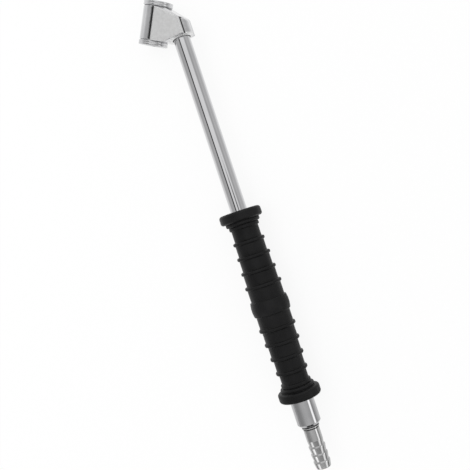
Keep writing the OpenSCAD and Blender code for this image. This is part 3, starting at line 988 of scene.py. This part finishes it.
def coupling():
    """Sleeve that holds the stem and the tail, with a chamfer towards the tail."""
    start, end, _, outer = turned_size("coupling", STEM)
    seal_end = turned_size("coupling_seal", STEM)[1]
    thread_start = turned_size("hose_tail", STEM)[0] - THREAD_RUNOUT
    socket_bore_r, thread_bore_r = stem_r + COUPLING_SLACK, THREAD_R + COUPLING_SLACK
    corners = [
        (start, socket_bore_r, EDGE),
        (seal_end, socket_bore_r, EDGE),
        (seal_end, stem_bore_r, EDGE),
        (thread_start, stem_bore_r, EDGE),
        (thread_start, thread_bore_r, EDGE),
        (end, thread_bore_r, EDGE),
        (end, outer - COUPLING_CHAMFER, 0.2),
        (end - COUPLING_CHAMFER, outer, 0.25),
        (start, outer, 0.3),
    ]
    turned("coupling_sleeve", STEM, corners, coupling_chrome, "inflator", "coupling_chrome", ["coupling"])


def hose_tail():
    """Threaded tail with a collar, a neck with painted shade, a plain land and barbs that taper to the
    tip.
    """
    start, end, bore_r, collar_r = turned_size("hose_tail", STEM)
    land = mount("hose_land")["dims"]
    land_r = land["r_mm"] - LAND_SLACK
    collar_start = turned_size("tail_seal", STEM)[1]
    neck_start = collar_start + COLLAR_T
    land_start = neck_start + NECK_W
    land_end = land_start + land["length_mm"]
    barbs_start = land_end + LAND_TAPER
    corners = [(start, bore_r, 0.2), (end, bore_r, 0.35), (end, BARB_ROOT_R, 0.25)]
    for i in reversed(range(BARB_COUNT)):
        at = barbs_start + i * BARB_PITCH
        if i < BARB_COUNT - 1:
            corners.append((at + BARB_PITCH, BARB_ROOT_R, 0.1))
        corners += [(at + CREST_W, CREST_R, 0.2), (at, CREST_R, 0.12)]
    corners += [
        (barbs_start, BARB_ROOT_R, 0.1),
        (land_end, land_r, 0.5),
        (land_start, land_r, 0.15),
        (land_start, NECK_R, 0.12),
        (neck_start, NECK_R, 0.12),
        (neck_start, collar_r, 0.2),
        (collar_start, collar_r, 0.2),
        (collar_start, THREAD_R, EDGE),
        (start, THREAD_R, EDGE),
    ]
    made = turned("hose_tail_barbs", STEM, corners, tail_chrome, "inflator", "tail_chrome", ["hose_tail"])
    points = tool_points([v.co for v in made.data.vertices])
    # Painted shade in the neck between the collar and the land
    neck_shade = band(points[:, 0], neck_start - NECK_NEAR, land_start + NECK_NEAR, NECK_NEAR)
    paint_points(made, "recess", neck_shade * (np.linalg.norm(points[:, 1:], axis=1) < land_r + NECK_NEAR))


def paint(node, finish):
    """Gives a CAD node that stays in view its finish."""
    shown = frame["nodes"][node]
    shown.data.materials.clear()
    shown.data.materials.append(finish)


head_casting()
for side in SIDES:
    face_nut(side)
    seal_washer(side)
    coil(side)
    paint(f"{side}_valve_seat", brass[side])
    paint(f"{side}_plunger", brass[side])
    paint(f"{side}_valve_disc", seal_rubber)
plain_ring("stem", "stem_tube", 0.3, 0.4, tube_chrome, "tube_chrome")
grip()
coupling()
hose_tail()
plain_ring("tail_washer", "tail_seal", 0.2, 0.2, seal_rubber, "seal_rubber")
paint("stem_seal", red_fibre)
paint("coupling_seal", red_fibre)


# ---------------------------------------------------------------- camera

# The picture is 470 pixels wide, and the focal length is 700 of them. The camera stands
# VIEW_DISTANCE metres from the place it looks at, which lies VIEW_ALONG millimetres down the stem
# from the head and VIEW_ASIDE to the side.
FRAME_PX = 470
FOCAL_PX = 700
SENSOR = 36.0
CLIP_START = 0.01
VIEW_TILT = math.radians(11.54)
VIEW_TURN = math.radians(18.4)
VIEW_DISTANCE = 0.4116
VIEW_ALONG = 119.25
VIEW_ASIDE = -6.67

toward_camera = Vector((0.0, math.sin(VIEW_TILT), math.cos(VIEW_TILT)))
aside = Vector((0.0, math.cos(VIEW_TILT), -math.sin(VIEW_TILT)))
along = Vector((1.0, 0.0, 0.0))
right = along * math.sin(VIEW_TURN) + aside * math.cos(VIEW_TURN)
up = -along * math.cos(VIEW_TURN) + aside * math.sin(VIEW_TURN)
aim = to_row @ Vector((VIEW_ALONG, 0.0, 0.0)) + aside * VIEW_ASIDE * MM
lens = bpy.data.cameras.new("camera")
lens.sensor_width = SENSOR
lens.lens = SENSOR * FOCAL_PX / FRAME_PX
lens.clip_start = CLIP_START
camera = bpy.data.objects.new("camera", lens)
camera.matrix_world = Matrix.Translation(aim + toward_camera * VIEW_DISTANCE) @ Matrix((
    (right.x, up.x, toward_camera.x, 0), (right.y, up.y, toward_camera.y, 0),
    (right.z, up.z, toward_camera.z, 0), (0, 0, 0, 1)))
bpy.context.scene.collection.objects.link(camera)
bpy.context.scene.camera = camera


# ---------------------------------------------------------------- floor, light and background

WHITE = (1.0, 1.0, 1.0, 1.0)
FLOOR_HALF = 1.6
FLOOR_GLOW = 0.88
PAPER_GREYS = (0.93, 0.97)
PLAIN_LEVEL = 0.85
LAMP_PLACE = (-0.25, -0.35, 0.9)
LAMP_SIZE = (0.8, 0.6)
LAMP_POWER = 2.2

# Painted light and shade that only gloss sees on the floor: grey at places beside the stem, times grey at
# places along it, in metres from the stem's axis and from the head
FLOOR_BESIDE_ENDS = (-0.13, 0.10)
FLOOR_BESIDE = [
    (-0.130, 0.80), (-0.044, 0.91), (-0.025, 1.0), (0.017, 0.98), (0.023, 0.88), (0.032, 0.75),
    (0.049, 0.60), (0.100, 0.55)]
FLOOR_ONWARD_ENDS = (0.2, 0.31)
FLOOR_ONWARD = [(0.205, 1.0), (0.235, 0.72), (0.285, 0.68), (0.300, 0.06)]

# What gloss sees of the room: grey at angles round the stem, in degrees from straight up towards
# the camera. It changes with how far towards the tail the gloss looks: that half of the room is
# darker, with one bright strip for the coupling and two for the barbs.
ROOM_ANGLES = (-110, 100)
OVER_HEAD = [
    (-103, 0.74), (-92, 0.54), (-78, 0.50), (-68, 0.54), (-56, 0.55), (-47, 0.50), (-44, 0.40),
    (-42, 0.04), (-32, 0.04), (-27, 0.92), (20, 0.94), (32, 0.48), (46, 0.50), (56, 0.62), (68, 0.60),
    (84, 0.55)]
OVER_HEAD_END = [
    (-103, 0.97), (-91, 0.88), (-80, 0.68), (-69, 0.56), (-50, 0.54), (-43, 0.95), (84, 1.0)]
OVER_TAIL = [
    (-103, 0.50), (-96, 0.40), (-88, 0.31), (-76, 0.30), (-55, 0.34), (-44, 0.42), (-30, 0.52),
    (0, 0.56), (24, 0.50), (45, 0.44), (51, 1.45), (64, 1.45), (70, 0.42), (84, 0.34)]
OVER_BARBS = [
    (-103, 0.60), (-84, 0.75), (-74, 1.40), (-58, 1.40), (-50, 0.45), (-20, 0.32), (30, 0.28),
    (38, 0.40), (44, 1.10), (64, 1.10), (72, 0.55), (84, 0.45)]
# Stretches along the stem in which the room goes from one pattern to the next
TO_HEAD_END = (-0.38, -0.30)
TO_TAIL = (0.10, 0.24)
TO_BARBS = (0.40, 0.48)
TO_TAIL_END = (0.64, 0.70)
# A dark gap straight above the stem, with soft sides in degrees and soft ends along the stem
GAP_ANGLE = 2.5
GAP_SIDES = (2.5, 9.0)
GAP_STARTS = (-0.12, -0.06)
GAP_ENDS = (0.0, 0.05)
GAP_GREY = (0.1, 0.1, 0.1, 1.0)
# Behind the tail the room is dark below a height and bright above it
TAIL_END_RISE = (0.36, 0.46)
TAIL_END_LOW = (0.05, 0.05, 0.05, 1.0)
TAIL_END_HIGH = (1.2, 1.2, 1.2, 1.0)


def ramp(tree, value, low, high, stops):
    """Grey value at stops of (value, grey), straight between them."""
    share = spread(tree, value, 0.0, 1.0, low, high)
    node = add(tree, "ShaderNodeValToRGB", Fac=share)
    elements = node.color_ramp.elements
    while len(elements) > 1:
        elements.remove(elements[-1])
    for i, (at, grey) in enumerate(stops):
        place = (at - low) / (high - low)
        element = elements[0] if i == 0 else elements.new(place)
        element.position = place
        element.color = (grey, grey, grey, 1.0)
    return node.outputs["Color"]


def rise(tree, value, stretch):
    """0 before a stretch of values and 1 after it."""
    return spread(tree, value, 0.0, 1.0, *stretch)


def fall(tree, value, stretch):
    """1 before a stretch of values and 0 after it."""
    return spread(tree, value, 1.0, 0.0, *stretch)


def floor():
    """Pale paper that casts back soft light, takes shadows and is white to the camera; gloss sees a
    painted glow of light and shade on it.
    """
    mesh = bpy.data.meshes.new("floor")
    h = FLOOR_HALF
    z = cad_low.z
    mesh.from_pydata([(-h, -h, z), (h, -h, z), (h, h, z), (-h, h, z)], [], [(0, 1, 2, 3)])
    made = bpy.data.objects.new("floor", mesh)
    bpy.context.scene.collection.objects.link(made)
    finish = bpy.data.materials.new("floor_paper")
    finish.use_nodes = True
    tree = finish.node_tree
    tree.nodes.remove(tree.nodes["Principled BSDF"])
    paper = spread(tree, noise(tree, position(tree), 400.0), *PAPER_GREYS)
    colour = add(tree, "ShaderNodeCombineColor", Red=paper, Green=paper, Blue=paper).outputs[0]
    diffuse = add(tree, "ShaderNodeBsdfDiffuse", Color=colour)
    place = add(tree, "ShaderNodeSeparateXYZ", Vector=position(tree)).outputs
    aside_of_stem = math_node(tree, "SUBTRACT", place["Y"], stem_middle.y)
    past_head = math_node(tree, "SUBTRACT", place["X"], to_row.translation.x)
    painted_gloss_glow = math_node(
        tree, "MULTIPLY", ramp(tree, aside_of_stem, *FLOOR_BESIDE_ENDS, FLOOR_BESIDE),
        ramp(tree, past_head, *FLOOR_ONWARD_ENDS, FLOOR_ONWARD))
    path = add(tree, "ShaderNodeLightPath").outputs
    glow = add(tree, "ShaderNodeEmission", Strength=1.0,
               Color=mixed(tree, path["Is Glossy Ray"], WHITE, painted_gloss_glow))
    bent = math_node(tree, "MAXIMUM", path["Is Glossy Ray"], path["Is Transmission Ray"])
    seen = math_node(tree, "MAXIMUM", path["Is Camera Ray"], bent)
    mix = add(tree, "ShaderNodeMixShader", Fac=math_node(tree, "MULTIPLY", seen, FLOOR_GLOW),
              i1=diffuse.outputs[0], i2=glow.outputs[0])
    tree.links.new(mix.outputs[0], tree.nodes["Material Output"].inputs["Surface"])
    mesh.materials.append(finish)


def room(tree, where):
    """Colour that gloss sees in a direction: a soft box with dark gaps along the stem."""
    def part(direction):
        node = add(tree, "ShaderNodeVectorMath", {"operation": "DOT_PRODUCT"}, i0=where)
        node.inputs[1].default_value = direction
        return node.outputs["Value"]

    def over(stops):
        return ramp(tree, angle, *ROOM_ANGLES, stops)

    turn = math_node(tree, "ARCTAN2", part(aside), part(toward_camera))
    angle = math_node(tree, "MULTIPLY", turn, 180 / math.pi)
    tip = part(along)
    height = add(tree, "ShaderNodeSeparateXYZ", Vector=where).outputs["Z"]
    aside_of_gap = math_node(tree, "ABSOLUTE", math_node(tree, "SUBTRACT", angle, GAP_ANGLE))
    gap_along = math_node(tree, "MULTIPLY", rise(tree, tip, GAP_STARTS), fall(tree, tip, GAP_ENDS))
    gap = math_node(tree, "MULTIPLY", fall(tree, aside_of_gap, GAP_SIDES), gap_along)
    pattern = mixed(tree, fall(tree, tip, TO_HEAD_END), over(OVER_HEAD), over(OVER_HEAD_END))
    pattern = mixed(tree, gap, pattern, GAP_GREY)
    pattern = mixed(tree, rise(tree, tip, TO_TAIL), pattern, over(OVER_TAIL))
    pattern = mixed(tree, rise(tree, tip, TO_BARBS), pattern, over(OVER_BARBS))
    tail_end = mixed(tree, rise(tree, height, TAIL_END_RISE), TAIL_END_LOW, TAIL_END_HIGH)
    return mixed(tree, rise(tree, tip, TO_TAIL_END), pattern, tail_end)


def studio():
    """White surroundings, in which gloss sees a room of its own."""
    world = bpy.data.worlds.new("studio")
    bpy.context.scene.world = world
    world.use_nodes = True
    tree = world.node_tree
    tree.nodes.clear()
    where = add(tree, "ShaderNodeTexCoord").outputs["Generated"]
    gloss = add(tree, "ShaderNodeBackground", Color=room(tree, where))
    plain = add(tree, "ShaderNodeBackground", Color=WHITE, Strength=PLAIN_LEVEL)
    white = add(tree, "ShaderNodeBackground", Color=WHITE, Strength=1.0)
    path = add(tree, "ShaderNodeLightPath").outputs
    lit = add(tree, "ShaderNodeMixShader", Fac=path["Is Glossy Ray"],
              i1=plain.outputs[0], i2=gloss.outputs[0])
    seen = math_node(tree, "MAXIMUM", path["Is Camera Ray"], path["Is Transmission Ray"])
    surroundings = add(tree, "ShaderNodeMixShader", Fac=seen, i1=lit.outputs[0], i2=white.outputs[0])
    out = add(tree, "ShaderNodeOutputWorld")
    tree.links.new(surroundings.outputs[0], out.inputs["Surface"])


def lamp():
    """A broad soft lamp from above, for soft shadows."""
    light = bpy.data.lights.new("soft_lamp", "AREA")
    light.shape = "RECTANGLE"
    light.size, light.size_y = LAMP_SIZE
    light.energy = LAMP_POWER
    made = bpy.data.objects.new("soft_lamp", light)
    made.location = LAMP_PLACE
    made.rotation_mode = "QUATERNION"
    made.rotation_quaternion = made.location.normalized().to_track_quat("Z", "Y")
    made.visible_glossy = False
    bpy.context.scene.collection.objects.link(made)


floor()
studio()
lamp()
bpy.context.scene.view_settings.view_transform = "Standard"
